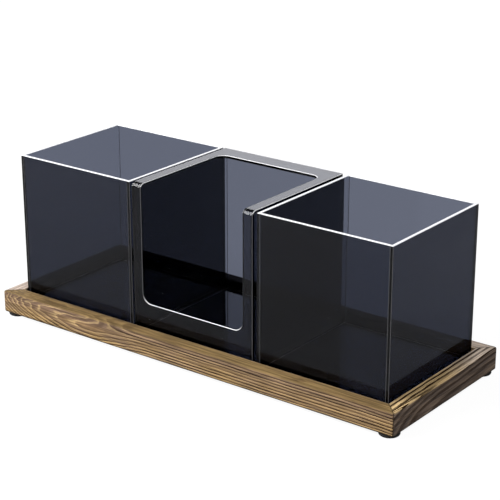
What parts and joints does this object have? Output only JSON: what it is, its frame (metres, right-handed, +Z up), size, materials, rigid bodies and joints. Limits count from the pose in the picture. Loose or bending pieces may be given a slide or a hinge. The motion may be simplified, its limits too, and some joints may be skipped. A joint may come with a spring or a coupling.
{
  "type": "counter condiment caddy",
  "caption": "Counter caddy with smoked acrylic lift-out bins, one with a napkin cut-out, in a mitred wooden tray on rubber feet.",
  "frame": {"origin": "on the counter, under the middle of the tray", "axes": "+X along the row of bins to the right seen from the front, -Y towards the front, +Z up"},
  "size_m": [0.4608, 0.1754, 0.1653],
  "materials": {
    "smoked_acrylic": "polished, smoked grey, see-through",
    "brushed_pine": "brushed and oiled, dark grain",
    "black_board": "matt black laminate",
    "nail_steel": "bright",
    "foot_rubber": "matt"
  },
  "bodies": {
    "tray": {"foot_back_left": "foot_rubber", "foot_back_right": "foot_rubber", "foot_front_left": "foot_rubber", "foot_front_right": "foot_rubber", "tray_back_rail": "brushed_pine", "tray_board": "black_board", "tray_corner_nails": "nail_steel", "tray_front_rail": "brushed_pine", "tray_left_rail": "brushed_pine", "tray_right_rail": "brushed_pine"},
    "left_bin": {"left_bin_back_wall": "smoked_acrylic", "left_bin_floor": "smoked_acrylic", "left_bin_front_wall": "smoked_acrylic", "left_bin_left_wall": "smoked_acrylic", "left_bin_right_wall": "smoked_acrylic"},
    "napkin_bin": {"napkin_bin_back_wall": "smoked_acrylic", "napkin_bin_floor": "smoked_acrylic", "napkin_bin_front_and_top": "smoked_acrylic", "napkin_bin_left_wall": "smoked_acrylic", "napkin_bin_right_wall": "smoked_acrylic"},
    "right_bin": {"right_bin_back_wall": "smoked_acrylic", "right_bin_floor": "smoked_acrylic", "right_bin_front_wall": "smoked_acrylic", "right_bin_left_wall": "smoked_acrylic", "right_bin_right_wall": "smoked_acrylic"}
  },
  "joints": [
    {"name": "left_bin_lift", "type": "slide", "parent": "tray", "child": "left_bin", "axis": [0, 0, 1], "range_m": [0, 0.16]},
    {"name": "napkin_bin_lift", "type": "slide", "parent": "tray", "child": "napkin_bin", "axis": [0, 0, 1], "range_m": [0, 0.16]},
    {"name": "right_bin_lift", "type": "slide", "parent": "tray", "child": "right_bin", "axis": [0, 0, 1], "range_m": [0, 0.16]}
  ]
}
